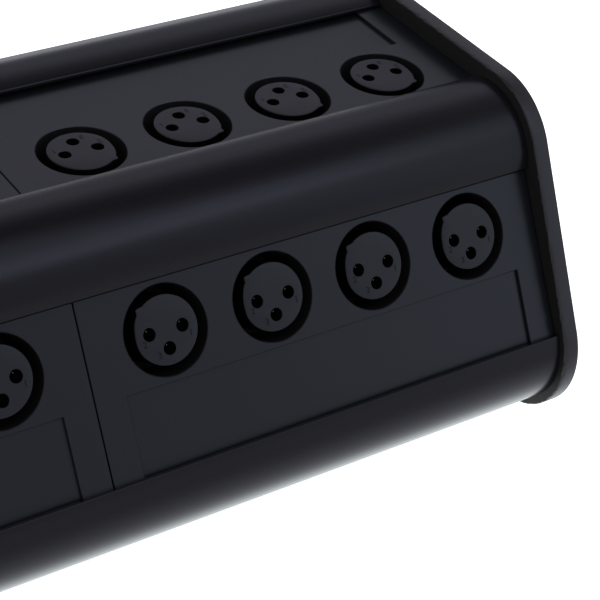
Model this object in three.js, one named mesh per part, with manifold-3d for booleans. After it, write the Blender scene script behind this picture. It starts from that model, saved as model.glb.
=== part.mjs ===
// Sixteen-way microphone stage box: the fixed end of a multicore snake.
// Two aluminium extrusions, the ridge rail and the base profile, run the whole length between two
// end cheeks. Four socket panels slide into the grooves that the extrusions leave between them, two
// on the sloping front and two on the flat top, and each panel carries four female XLR sockets with a
// contact board behind them. The multicore enters through a gland in the left cheek.
// Millimetres. X runs along the box, Y to the back and Z up. The box stands on its rubber feet at Z 0.
import * as THREE from 'three';
import { mergeVertices } from 'three/addons/utils/BufferGeometryUtils.js';
import Module from 'manifold-3d';

const wasm = await Module();
wasm.setup();

// Socket, seen from the front: the size of the plug that goes in sets the scale of the box
const socketPitch = 27.7;
const socketsPerPanel = 4;
const socketHoleRadius = 10.3;
const shellBoreRadius = 10.0;
const shellWall = 1.5;
const shellLength = 13.7;
const shellFloor = 2.2;
const shellRearOpeningRadius = 6.6;
const insertRadius = 7.92;
const insertKeyHeight = 0.48;
const keyFrom = THREE.MathUtils.degToRad(130);
const keyTo = THREE.MathUtils.degToRad(140);
const pinCircleRadius = 4.15;
const pinHoleRadius = 1.5;
const contactRadius = 1.2;
const contactSetBack = 2.2;
const contactTail = 1.8;
const boardThickness = 1.6;

// Socket panel
const panelThickness = 3;
const panelEndMargin = 20;
const panelTuck = 1.6;
const labelRecessDepth = 0.9;
const labelRecessEndMargin = 7.5;
const labelRecessFromSockets = 11.6;
const nearSeamFromSockets = 11.95;
const farSeamFromSockets = 30.4;
const panelsPerFace = 2;
const panelJoint = 0.3;

// Section of the extrusions
const frontSlope = THREE.MathUtils.degToRad(60);
const profileWall = 2.4;
const ridgeRadius = 17.2;
const ridgeCrown = 1.7;
const ridgeFromSeam = 6;
const cornerRadius = 18;
const cornerCrown = 0.7;
const seamBelowCorner = 0.85;
const seatThickness = 1.8;
const seatWeb = 2.2;
const screwBossRadius = 3.6;
const screwBossRib = 2.2;

// End cheeks and what is fixed to them
const cheekThickness = 4.5;
const cheekProud = 2.5;
const screwRadius = 2;
const screwLength = 16;
const screwHeadRadius = 3.9;
const screwHeadHeight = 2.3;
const screwSocketRadius = 1.45;
const screwSocketDepth = 1.5;

// Cable gland for a multicore of about 15 mm
const glandBoreRadius = 8.6;
const glandSealWall = 2;
const glandSealLength = 9;
const glandCollarWall = 1.55;
const glandCollarLength = 11;
const glandFlangeWall = 4.2;
const glandFlangeThickness = 5;
const glandInnerThread = 8;
const lockNutWall = 3.7;
const lockNutThickness = 5;
const domeNutSkirt = 9;
const domeNutLength = 17;
const domeNutTurnedOff = 0.5;
const domeMouthWall = 2.9;
const hexCornerShare = 0.55;

// Feet
const footHeight = 5;
const footRadius = 7;
const footToeRadius = 6;
const footStemRadius = 2.4;
const footBarbRadius = 3.4;
const footBarbHeight = 1.6;
const footFromEnd = 26;
const footFromMiddle = 36;

// Clearances
const endGap = 0.1;
const panelGap = 0.15;
const seatGap = 0.3;
const runningGap = 0.15;
const overrun = 5;

// Facets: arcs of the extrusions turn in steps of facetTurn, round pieces have a fixed count of sides
const facetTurn = THREE.MathUtils.degToRad(7.5);
const socketHoleSides = 24;
const shellSides = 16;
const insertSides = 20;
const pinHoleSides = 8;
const contactSides = 6;
const screwSides = 12;
const bossSides = 12;
const glandSides = 20;
const footSides = 12;

// Sizes that follow from the ones above
const panelLength = (socketsPerPanel - 1) * socketPitch + 2 * panelEndMargin;
const profileLength = panelsPerFace * panelLength + (panelsPerFace - 1) * panelJoint + 2 * endGap;
const panelNearEdge = nearSeamFromSockets + panelTuck;
const panelFarEdge = farSeamFromSockets + panelTuck;
const visiblePanel = nearSeamFromSockets + farSeamFromSockets;
const ridgeSpacing = visiblePanel + 2 * ridgeFromSeam;
const faceSpan = visiblePanel + ridgeFromSeam - seamBelowCorner;
const ridgeInset = ridgeRadius - ridgeCrown;
const cornerInset = cornerRadius - cornerCrown;
const cheekRadius = cornerRadius + cheekProud;
const insertLength = shellLength + panelThickness - shellFloor;
const boardDepth = panelThickness + 2 * seatGap + shellLength;
const shellRadius = shellBoreRadius + shellWall;
const glandSealRadius = glandBoreRadius + glandSealWall;
const glandThreadRadius = glandSealRadius + runningGap + glandCollarWall;
const glandAcrossFlats = 2 * (glandThreadRadius + glandFlangeWall);
const glandMouth = endGap + glandFlangeThickness + glandCollarLength;
const lockNutAcrossFlats = 2 * (glandThreadRadius + lockNutWall);
const domeNutRadius = glandAcrossFlats / 2 - domeNutTurnedOff;
const domeMouthRadius = glandBoreRadius + domeMouthWall;
const hexCornerRadius = glandAcrossFlats * hexCornerShare;

// Unit vectors of the front face in the section: up the slope, and out of the face
const frontUp = new THREE.Vector2(Math.cos(frontSlope), Math.sin(frontSlope));
const frontOut = new THREE.Vector2(-Math.sin(frontSlope), Math.cos(frontSlope));

// Centre lines of the four rounded edges, in the section's own Y and Z
const frontCorner = new THREE.Vector2(0, footHeight + cornerRadius);
const frontRidge = new THREE.Vector2();
frontRidge.x = -ridgeSpacing / 2;
frontCorner.x = frontRidge.x - faceSpan * frontUp.x - (cornerInset - ridgeInset) * frontOut.x;
frontRidge.y = frontCorner.y + faceSpan * frontUp.y + (cornerInset - ridgeInset) * frontOut.y;
const rearCorner = new THREE.Vector2(-frontCorner.x, frontCorner.y);
const rearRidge = new THREE.Vector2(-frontRidge.x, frontRidge.y);
const glandLevel = (frontCorner.y + frontRidge.y) / 2;

// Socket lines of the two faces, on the faces of the panels
const socketsBelowRidge = ridgeFromSeam + nearSeamFromSockets;
const frontSockets = frontRidge.clone()
  .addScaledVector(frontUp, -socketsBelowRidge)
  .addScaledVector(frontOut, ridgeInset);
const topSockets = new THREE.Vector2(frontRidge.x + socketsBelowRidge, frontRidge.y + ridgeInset);

// Materials
const anodised = new THREE.MeshStandardMaterial({ color: 0x17171b, roughness: 0.38, metalness: 0.7 });
const panelFinish = new THREE.MeshStandardMaterial({ color: 0x1c1e22, roughness: 0.55, metalness: 0.1 });
const cheekFinish = new THREE.MeshStandardMaterial({ color: 0x1d1d1f, roughness: 0.6, metalness: 0 });
const shellPlastic = new THREE.MeshStandardMaterial({ color: 0x0c0c0d, roughness: 0.6, metalness: 0 });
const insertPlastic = new THREE.MeshStandardMaterial({ color: 0x232428, roughness: 0.5, metalness: 0 });
const boardFinish = new THREE.MeshStandardMaterial({ color: 0x1f4a2c, roughness: 0.6, metalness: 0 });
const blackSteel = new THREE.MeshStandardMaterial({ color: 0x202022, roughness: 0.35, metalness: 0.9 });
const glandPlastic = new THREE.MeshStandardMaterial({ color: 0x141415, roughness: 0.5, metalness: 0 });
const rubber = new THREE.MeshStandardMaterial({ color: 0x101010, roughness: 0.85, metalness: 0 });

// A closed geometry as a solid that can be joined and cut
function solidOf(geometry) {
  const bare = geometry.clone();
  bare.deleteAttribute('normal');
  bare.deleteAttribute('uv');
  const merged = mergeVertices(bare);
  const triVerts = new Uint32Array(merged.index.array);
  const vertProperties = new Float32Array(merged.attributes.position.array);
  return new wasm.Manifold(new wasm.Mesh({ numProp: 3, vertProperties, triVerts }));
}

function geometryOf(solid) {
  const mesh = solid.getMesh();
  const geometry = new THREE.BufferGeometry();
  geometry.setAttribute('position', new THREE.BufferAttribute(mesh.vertProperties, 3));
  geometry.setIndex(new THREE.BufferAttribute(mesh.triVerts, 1));
  return geometry;
}

function named(name, geometry, material) {
  const mesh = new THREE.Mesh(geometry, material);
  mesh.name = name;
  return mesh;
}

// Points on an arc about a centre, from one angle to another, both ends included
function arcPoints(centre, radius, from, to, steps) {
  return Array.from({ length: steps + 1 }, (_, step) => {
    const angle = from + ((to - from) * step) / steps;
    return new THREE.Vector2(
      centre.x + radius * Math.cos(angle),
      centre.y + radius * Math.sin(angle),
    );
  });
}

function circlePoints(centre, radius, sides) {
  return arcPoints(centre, radius, 0, 2 * Math.PI, sides).slice(0, sides);
}

function hexagon(acrossFlats) {
  const radius = acrossFlats / 2 / Math.cos(Math.PI / 6);
  return circlePoints(new THREE.Vector2(), radius, 6);
}

function rectangle(fromX, toX, fromY, toY) {
  return [
    new THREE.Vector2(fromX, fromY),
    new THREE.Vector2(toX, fromY),
    new THREE.Vector2(toX, toY),
    new THREE.Vector2(fromX, toY),
  ];
}

// A flat outline raised between two levels of Z
function raised(points, fromZ, toZ, holes = []) {
  const shape = new THREE.Shape(points);
  shape.holes = holes.map((hole) => new THREE.Path(hole));
  const geometry = new THREE.ExtrudeGeometry(shape, { depth: toZ - fromZ, bevelEnabled: false });
  return geometry.translate(0, 0, fromZ);
}

// A section drawn in Y and Z, carried along X between two places
function alongBox(points, fromX, toX) {
  const axes = new THREE.Matrix4().makeBasis(
    new THREE.Vector3(0, 1, 0),
    new THREE.Vector3(0, 0, 1),
    new THREE.Vector3(1, 0, 0),
  );
  return raised(points, fromX, toX).applyMatrix4(axes);
}

// A body turned about Z from pairs of radius and Z, listed with the material on the left
function turned(profile, sides) {
  const points = profile.map(([radius, z]) => new THREE.Vector2(radius, z));
  return new THREE.LatheGeometry(points, sides).rotateX(Math.PI / 2);
}

// Angle of the outward normal n of the tangent from one circle to the next, anticlockwise:
// n . (c2 - c1) = r1 - r2
function tangentAngle(circle, next) {
  const step = next.centre.clone().sub(circle.centre);
  return step.angle() - Math.acos((circle.radius - next.radius) / step.length());
}

// Outline through arcs listed anticlockwise, each from one normal angle to another
function outlineOfArcs(arcs) {
  return arcs.flatMap(({ centre, radius, from, to }) => {
    const turn = THREE.MathUtils.euclideanModulo(to - from, 2 * Math.PI);
    return arcPoints(centre, radius, from, from + turn, Math.ceil(turn / facetTurn));
  });
}

// Outline stretched round circles listed anticlockwise: arcs joined by their outer tangents
function outlineRound(circles) {
  const count = circles.length;
  const normals = circles.map((circle, index) => tangentAngle(circle, circles[(index + 1) % count]));
  const arcs = circles.map((circle, index) => {
    const from = normals[(index + count - 1) % count];
    return { ...circle, from, to: normals[index] };
  });
  return outlineOfArcs(arcs);
}

// Places in the section given on a face: u runs up to the ridge and v out of the panels' faces
function onFront(u, v) {
  return frontSockets.clone().addScaledVector(frontUp, u).addScaledVector(frontOut, v);
}

function onTop(u, v) {
  return new THREE.Vector2(topSockets.x - u, topSockets.y + v);
}

// The four rounded edges, with the normal angles between which each is drawn. On the open faces an
// edge turns past the face's own angle and on past its lip, where the opening trims it.
function roundedEdges() {
  const rear = tangentAngle(
    { centre: rearCorner, radius: cornerRadius },
    { centre: rearRidge, radius: ridgeRadius },
  );
  const upward = Math.PI / 2;
  const downward = 3 * upward;
  const frontward = frontOut.angle();
  const ridgeLip = Math.asin(ridgeFromSeam / ridgeRadius) + facetTurn;
  const cornerLip = Math.asin(seamBelowCorner / cornerRadius) - facetTurn;
  return [
    { centre: frontCorner, radius: cornerRadius, from: frontward + cornerLip, to: downward },
    { centre: rearCorner, radius: cornerRadius, from: downward, to: rear },
    { centre: rearRidge, radius: ridgeRadius, from: rear, to: upward + ridgeLip },
    { centre: frontRidge, radius: ridgeRadius, from: upward - ridgeLip, to: frontward + ridgeLip },
  ];
}

function housingOutline(inset) {
  return outlineOfArcs(roundedEdges().map((edge) => ({ ...edge, radius: edge.radius - inset })));
}

// A section as long as the extrusions, and a cut that runs past both of their ends
function profilePiece(points) {
  return solidOf(alongBox(points, -profileLength / 2, profileLength / 2));
}

function profileCut(points) {
  return solidOf(alongBox(points, -profileLength / 2 - overrun, profileLength / 2 + overrun));
}

// A block on a face, between two places of u and two of v
function blockOn(place, fromU, toU, fromV, toV) {
  return rectangle(fromU, toU, fromV, toV).map(({ x, y }) => place(x, y));
}

// Block for the seat behind a panel's edge, which the panel's slot then cuts to a lip, a web and a
// flange. side is 1 at the edge near the ridge and -1 at the far edge.
function seatBlock(place, seam, side) {
  const webEnd = seam + panelTuck + panelGap + seatWeb;
  const flangeBack = -panelThickness - panelGap - seatThickness;
  return profilePiece(blockOn(place, side * (seam + seatGap), side * webEnd, flangeBack, overrun));
}

// A screw boss at the centre of a rounded edge, and the rib that joins it to the wall
function screwBoss({ centre, radius, from, to }) {
  const turn = THREE.MathUtils.euclideanModulo(to - from, 2 * Math.PI);
  const out = new THREE.Vector2(1, 0).rotateAround(new THREE.Vector2(), from + turn / 2);
  const across = new THREE.Vector2(-out.y, out.x);
  const rib = rectangle(0, radius - profileWall / 2, -screwBossRib / 2, screwBossRib / 2);
  const ribPoints = rib.map(({ x, y }) => centre.clone().addScaledVector(out, x).addScaledVector(across, y));
  const boss = profilePiece(circlePoints(centre, screwBossRadius, bossSides));
  return boss.add(profilePiece(ribPoints));
}

// The section of both extrusions: wall, panel seats and screw bosses, trimmed to the outline, and
// then the slots for the panels and the screw holes
function housingSection() {
  let section = profilePiece(housingOutline(-overrun)).subtract(profileCut(housingOutline(profileWall)));
  for (const place of [onFront, onTop]) {
    const opening = blockOn(place, -farSeamFromSockets, nearSeamFromSockets, -overrun, 2 * overrun);
    section = section.subtract(profileCut(opening));
    section = section.add(seatBlock(place, nearSeamFromSockets, 1));
    section = section.add(seatBlock(place, farSeamFromSockets, -1));
  }
  for (const edge of roundedEdges()) {
    section = section.add(screwBoss(edge));
  }
  section = section.intersect(profileCut(housingOutline(0)));
  for (const edge of roundedEdges()) {
    section = section.subtract(profileCut(circlePoints(edge.centre, screwRadius + runningGap, screwSides)));
  }
  for (const place of [onFront, onTop]) {
    const back = -panelThickness - panelGap;
    const slot = blockOn(place, -panelFarEdge - panelGap, panelNearEdge + panelGap, back, panelGap);
    section = section.subtract(profileCut(slot));
  }
  return section;
}

// Places of the feet on the floor
function footPlaces() {
  const x = profileLength / 2 - footFromEnd;
  return [
    new THREE.Vector2(-x, -footFromMiddle),
    new THREE.Vector2(x, -footFromMiddle),
    new THREE.Vector2(-x, footFromMiddle),
    new THREE.Vector2(x, footFromMiddle),
  ];
}

// The ridge rail between the two openings, and the base profile that holds the rest of the section
function extrusions() {
  const section = housingSection();
  const ridgeRegion = profileCut(circlePoints(frontRidge, ridgeRadius + overrun, bossSides));
  let base = section.subtract(ridgeRegion);
  for (const foot of footPlaces()) {
    const hole = circlePoints(foot, footStemRadius + runningGap, footSides);
    base = base.subtract(solidOf(raised(hole, footHeight - overrun, footHeight + profileWall + overrun)));
  }
  return [
    named('ridge_rail', geometryOf(section.intersect(ridgeRegion)), anodised),
    named('base_profile', geometryOf(base), anodised),
  ];
}

// Socket centres along a panel
function socketPlaces() {
  return Array.from({ length: socketsPerPanel }, (_, index) => (
    (index - (socketsPerPanel - 1) / 2) * socketPitch
  ));
}

// A panel with its socket holes and the label field, sunk as far as the edge under the far lip
function panelGeometry() {
  const half = panelLength / 2;
  const holes = socketPlaces().map((x) => {
    const centre = new THREE.Vector2(x, 0);
    return circlePoints(centre, socketHoleRadius, socketHoleSides);
  });
  const plate = raised(rectangle(-half, half, -panelFarEdge, panelNearEdge), -panelThickness, 0, holes);
  const fieldEnd = half - labelRecessEndMargin;
  const field = rectangle(-fieldEnd, fieldEnd, -panelFarEdge - overrun, -labelRecessFromSockets);
  const sunk = solidOf(plate).subtract(solidOf(raised(field, -labelRecessDepth, overrun)));
  return geometryOf(sunk);
}

// The bore that takes the plug's sleeve, with a floor for the insert
function shellGeometry() {
  const front = -panelThickness - seatGap;
  const back = front - shellLength;
  return turned([
    [shellRadius, back],
    [shellRadius, front],
    [shellBoreRadius, front],
    [shellBoreRadius, back + shellFloor],
    [shellRearOpeningRadius, back + shellFloor],
    [shellRearOpeningRadius, back],
    [shellRadius, back],
  ], shellSides);
}

// Contacts 1 and 2 lie level to the right and left, and contact 3 below
function contactPlaces() {
  return [0, Math.PI, 1.5 * Math.PI].map((angle) => (
    new THREE.Vector2(pinCircleRadius * Math.cos(angle), pinCircleRadius * Math.sin(angle))
  ));
}

// The insert: a round moulding with a key at its upper left, flush with the panel
function insertGeometry() {
  const centre = new THREE.Vector2();
  const key = arcPoints(centre, insertRadius + insertKeyHeight, keyFrom, keyTo, 1);
  const round = arcPoints(centre, insertRadius, keyTo, keyFrom + 2 * Math.PI, insertSides);
  const holes = contactPlaces().map((place) => circlePoints(place, pinHoleRadius, pinHoleSides));
  return raised([...key, ...round], -insertLength, 0, holes);
}

// One contact for a plug's pin, soldered through the board
function contactGeometry(place) {
  const back = -boardDepth - boardThickness - contactTail;
  const contact = turned([
    [0, back],
    [contactRadius, back],
    [contactRadius, -contactSetBack],
    [0, -contactSetBack],
  ], contactSides);
  return contact.translate(place.x, place.y, 0);
}

// A board with the twelve contacts of its panel's sockets
function boardGeometry() {
  const halfLength = socketPlaces().at(-1) + shellRadius;
  const outline = rectangle(-halfLength, halfLength, -shellRadius, shellRadius);
  let board = solidOf(raised(outline, -boardDepth - boardThickness, -boardDepth));
  for (const x of socketPlaces()) {
    for (const contact of contactPlaces()) {
      const place = contact.clone();
      place.x += x;
      board = board.add(solidOf(contactGeometry(place)));
    }
  }
  return geometryOf(board);
}

// One face's panels, sockets and boards, in the face's frame: X along, Y to the ridge and Z out
function faceRow(face, sides) {
  const row = new THREE.Group();
  const panel = panelGeometry();
  const shell = shellGeometry();
  const insert = insertGeometry();
  const board = boardGeometry();
  sides.forEach((side, index) => {
    const module = new THREE.Group();
    module.position.x = (index - (panelsPerFace - 1) / 2) * (panelLength + panelJoint);
    module.add(named(`${face}_panel_${side}`, panel, panelFinish));
    module.add(named(`contact_board_${face}_${side}`, board, boardFinish));
    socketPlaces().forEach((x, place) => {
      const number = index * socketsPerPanel + place + 1;
      const socket = new THREE.Group();
      socket.position.x = x;
      socket.add(named(`xlr_shell_${face}_${number}`, shell, shellPlastic));
      socket.add(named(`xlr_insert_${face}_${number}`, insert, insertPlastic));
      module.add(socket);
    });
    row.add(module);
  });
  return row;
}

function frontRow() {
  const row = faceRow('front', ['left', 'right']);
  row.rotation.x = frontSlope;
  row.position.set(0, frontSockets.x, frontSockets.y);
  return row;
}

// The top panels are the front ones turned half round, so that their upper edge is at the ridge too
function topRow() {
  const row = faceRow('top', ['right', 'left']);
  row.rotation.z = Math.PI;
  row.position.set(0, topSockets.x, topSockets.y);
  return row;
}

// Outline of a countersunk screw from its flat head at Z 0 down, grown by a clearance
function screwOutline(grow) {
  return [
    [0, -screwLength - grow],
    [screwRadius + grow, -screwLength - grow],
    [screwRadius + grow, -screwHeadHeight],
    [screwHeadRadius + grow, 0],
    [0, 0],
  ];
}

// The same outline as a cut, which goes on past the face that the head is flush with
function screwCut() {
  const outline = screwOutline(runningGap);
  outline.splice(-1, 1, [screwHeadRadius + runningGap, overrun], [0, overrun]);
  return turned(outline, screwSides);
}

function screwGeometry() {
  const socket = circlePoints(new THREE.Vector2(), screwSocketRadius, 6);
  const body = solidOf(turned(screwOutline(0), screwSides));
  return geometryOf(body.subtract(solidOf(raised(socket, -screwSocketDepth, overrun))));
}

// The gland's body: inner thread, hexagonal flange, collar and the bore with a seat for the seal
function glandBodyGeometry() {
  const inner = -cheekThickness - glandInnerThread;
  const mouth = glandMouth;
  const thread = solidOf(turned([
    [0, inner],
    [glandThreadRadius, inner],
    [glandThreadRadius, mouth],
    [0, mouth],
  ], glandSides));
  const flange = raised(hexagon(glandAcrossFlats), endGap, endGap + glandFlangeThickness);
  const seat = mouth - glandSealLength;
  const bore = turned([
    [0, inner - overrun],
    [glandBoreRadius, inner - overrun],
    [glandBoreRadius, seat],
    [glandSealRadius + runningGap, seat],
    [glandSealRadius + runningGap, mouth + overrun],
    [0, mouth + overrun],
  ], glandSides);
  return geometryOf(thread.add(solidOf(flange)).subtract(solidOf(bore)));
}

function glandSealGeometry() {
  const back = glandMouth - glandSealLength + seatGap;
  const front = glandMouth + seatGap;
  return turned([
    [glandSealRadius, back],
    [glandSealRadius, front],
    [glandBoreRadius, front],
    [glandBoreRadius, back],
    [glandSealRadius, back],
  ], glandSides);
}

function lockNutGeometry() {
  const outer = -cheekThickness - endGap;
  const hole = circlePoints(new THREE.Vector2(), glandThreadRadius + runningGap, glandSides);
  return raised(hexagon(lockNutAcrossFlats), outer - lockNutThickness, outer, [hole]);
}

// The dome nut: a hexagonal skirt whose corners are turned off, and a dome down to the cable's mouth
function domeNutGeometry() {
  const back = endGap + glandFlangeThickness + seatGap;
  const front = back + domeNutLength;
  const skirt = back + domeNutSkirt;
  const cavity = glandMouth + 2 * seatGap;
  const centre = new THREE.Vector2(domeMouthRadius, skirt);
  const dome = new THREE.EllipseCurve(
    centre.x, centre.y, domeNutRadius - domeMouthRadius, front - skirt, 0, Math.PI / 2,
  ).getPoints(5).map(({ x, y }) => [x, y]);
  const body = solidOf(turned([
    [glandThreadRadius + runningGap, back],
    [hexCornerRadius, back],
    [hexCornerRadius, skirt - (hexCornerRadius - domeNutRadius)],
    ...dome,
    [glandBoreRadius, front],
    [glandBoreRadius, cavity],
    [glandThreadRadius + runningGap, cavity],
    [glandThreadRadius + runningGap, back],
  ], glandSides));
  const flats = raised(hexagon(glandAcrossFlats), back - overrun, front + overrun);
  return geometryOf(body.intersect(solidOf(flats)));
}

// One end cheek with its countersunk screws; the left one also has the hole for the gland
function cheekEnd(side) {
  const direction = side === 'right' ? 1 : -1;
  const inside = direction * (profileLength / 2 + endGap);
  const outside = inside + direction * cheekThickness;
  const edges = roundedEdges();
  const outline = outlineRound(edges.map(({ centre }) => ({ centre, radius: cheekRadius })));
  let plate = solidOf(alongBox(outline, Math.min(inside, outside), Math.max(inside, outside)));
  const end = new THREE.Group();
  edges.forEach(({ centre }, index) => {
    const cut = screwCut().rotateY(direction * Math.PI / 2).translate(outside, centre.x, centre.y);
    plate = plate.subtract(solidOf(cut));
    const screw = named(`cheek_screw_${side}_${index + 1}`, screwGeometry(), blackSteel);
    screw.rotation.y = direction * Math.PI / 2;
    screw.position.set(outside, centre.x, centre.y);
    end.add(screw);
  });
  if (side === 'left') {
    const centre = new THREE.Vector2(0, glandLevel);
    const hole = circlePoints(centre, glandThreadRadius + runningGap, glandSides);
    plate = plate.subtract(solidOf(alongBox(hole, outside - overrun, inside + overrun)));
  }
  end.add(named(`end_cheek_${side}`, geometryOf(plate), cheekFinish));
  return end;
}

// The gland on the left cheek, in a frame with Z out of the box
function cableGland() {
  const gland = new THREE.Group();
  gland.add(named('cable_gland_body', glandBodyGeometry(), glandPlastic));
  gland.add(named('cable_gland_seal', glandSealGeometry(), rubber));
  gland.add(named('cable_gland_lock_nut', lockNutGeometry(), glandPlastic));
  gland.add(named('cable_gland_dome_nut', domeNutGeometry(), glandPlastic));
  gland.rotation.y = -Math.PI / 2;
  gland.position.set(-profileLength / 2 - endGap - cheekThickness, 0, glandLevel);
  return gland;
}

// A rubber foot whose stem goes through the floor and ends in a barb
function footGeometry() {
  const barb = footHeight + profileWall + seatGap;
  return turned([
    [0, 0],
    [footToeRadius, 0],
    [footRadius, footHeight - endGap],
    [footStemRadius, footHeight - endGap],
    [footStemRadius, barb],
    [footBarbRadius, barb],
    [footStemRadius, barb + footBarbHeight],
    [0, barb + footBarbHeight],
  ], footSides);
}

function feet() {
  const group = new THREE.Group();
  footPlaces().forEach((place, index) => {
    const foot = named(`foot_${index + 1}`, footGeometry(), rubber);
    foot.position.set(place.x, place.y, 0);
    group.add(foot);
  });
  return group;
}

// The origin lies on the table under the middle of the whole box, gland included
const stageBox = new THREE.Group();
stageBox.position.x = (endGap + glandFlangeThickness + seatGap + domeNutLength) / 2;
stageBox.add(...extrusions());
stageBox.add(frontRow(), topRow());
stageBox.add(cheekEnd('left'), cheekEnd('right'));
stageBox.add(cableGland(), feet());

export default stageBox;
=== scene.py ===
import math

import bpy
import numpy as np
from mathutils import Euler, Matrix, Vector
from mathutils.geometry import delaunay_2d_cdt


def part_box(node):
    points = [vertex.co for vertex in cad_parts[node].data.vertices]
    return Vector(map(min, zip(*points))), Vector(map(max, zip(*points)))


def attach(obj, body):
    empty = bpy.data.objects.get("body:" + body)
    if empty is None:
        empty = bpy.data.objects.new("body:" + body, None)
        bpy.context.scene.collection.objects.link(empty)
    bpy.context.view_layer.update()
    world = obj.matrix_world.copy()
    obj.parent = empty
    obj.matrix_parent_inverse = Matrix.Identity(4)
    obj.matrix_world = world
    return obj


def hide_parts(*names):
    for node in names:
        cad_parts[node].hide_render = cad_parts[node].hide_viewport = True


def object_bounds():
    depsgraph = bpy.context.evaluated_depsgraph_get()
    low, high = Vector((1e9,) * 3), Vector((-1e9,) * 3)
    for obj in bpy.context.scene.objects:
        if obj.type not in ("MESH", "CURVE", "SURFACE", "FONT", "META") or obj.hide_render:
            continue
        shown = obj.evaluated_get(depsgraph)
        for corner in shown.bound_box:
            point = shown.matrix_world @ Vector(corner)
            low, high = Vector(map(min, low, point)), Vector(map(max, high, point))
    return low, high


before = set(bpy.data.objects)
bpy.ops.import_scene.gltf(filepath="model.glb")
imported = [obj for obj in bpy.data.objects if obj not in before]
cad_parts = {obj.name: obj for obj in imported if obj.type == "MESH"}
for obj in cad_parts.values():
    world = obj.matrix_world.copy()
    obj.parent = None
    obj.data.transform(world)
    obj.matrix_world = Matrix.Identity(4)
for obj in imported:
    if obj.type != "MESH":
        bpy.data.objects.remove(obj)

cad_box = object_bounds()

# Camera
# A long lens from the front left and above, close enough that the box runs out of the picture on
# the left, rolled a little so that the edges climb to the right.
camera_place = (-0.14883, -0.33989, 0.31395)
camera_turn_degrees = (54.118, -4.885, -33.064)
camera_focal_mm = 117.13
camera_sensor_mm = 36
camera_clip = (0.01, 20)

camera = bpy.data.cameras.new("camera")
camera.lens = camera_focal_mm
camera.sensor_width = camera_sensor_mm
camera.clip_start, camera.clip_end = camera_clip
camera_object = bpy.data.objects.new("camera", camera)
camera_object.location = camera_place
camera_object.rotation_euler = Euler([math.radians(turn) for turn in camera_turn_degrees])
bpy.context.scene.collection.objects.link(camera_object)
bpy.context.scene.camera = camera_object
bpy.context.scene.view_settings.view_transform = "Standard"

# Floor
# A white table top that takes the box's shadow and looks nearly burnt out. A glossy face sees a
# painted reflection of it instead: a glow with a painted pool of light along the box's foot, painted
# shadow under it, grey in front and white where it turns up behind.
mm = 0.001
floor_half_width = 4.0
floor_white = "#f4f4f4"
floor_glow = 0.85
# Colours of the painted reflection, where it is bright and where it is dim
painted_bright_reflection_colour = "#f6ffff"
painted_dim_reflection_colour = "#e6e4ff"
plain_white = (1, 1, 1, 1)
# The level of the painted reflection that a glossy face sees at each line, in mm behind the box's
# middle: painted light along the box's foot and painted shadow under the box
painted_reflection_steps = {
    -1500: 0.38, -600: 0.49, -300: 0.50, -225: 0.44, -135: 0.41, -121: 0.42, -106: 0.47, -91: 0.61,
    -81: 0.77, -72: 1.08, -64: 1.84, -58: 1.9, -50: 0.9, -42: 0.15, 42: 0.15, 60: 0.5, 100: 0.40,
    250: 0.40, 600: 0.9,
}
painted_reflection_peak = max(painted_reflection_steps.values())


def linear(text):
    """The linear colour of an sRGB hex value: a line up to 0.04045 and a power of 2.4 above it."""
    value = np.array([int(text[start:start + 2], 16) for start in (1, 3, 5)]) / 255
    curve = np.where(value <= 0.04045, value / 12.92, ((value + 0.055) / 1.055) ** 2.4)
    return (*curve, 1)


def add(tree, kind, inputs=None, **settings):
    """Adds a node of one kind with its own settings, and sets its inputs or links them."""
    made = tree.nodes.new(kind)
    for name, value in settings.items():
        setattr(made, name, value)
    for name, value in (inputs or {}).items():
        if isinstance(value, bpy.types.NodeSocket):
            tree.links.new(value, made.inputs[name])
        else:
            made.inputs[name].default_value = value
    return made


def times(tree, first, second):
    """The product of two numbers."""
    return add(tree, "ShaderNodeMath", {0: first, 1: second}, operation="MULTIPLY").outputs[0]


def span(tree, value, source, target=(0, 1), smooth=False):
    """A number that runs over the target while a value runs over the source, evenly or softly."""
    return add(tree, "ShaderNodeMapRange", {
        "Value": value, "From Min": source[0], "From Max": source[1],
        "To Min": target[0], "To Max": target[1],
    }, interpolation_type="SMOOTHSTEP" if smooth else "LINEAR").outputs["Result"]


def mix_colours(tree, share, first, second):
    """A colour between two others."""
    return add(tree, "ShaderNodeMix", {0: share, 6: first, 7: second}, data_type="RGBA").outputs[2]


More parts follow.
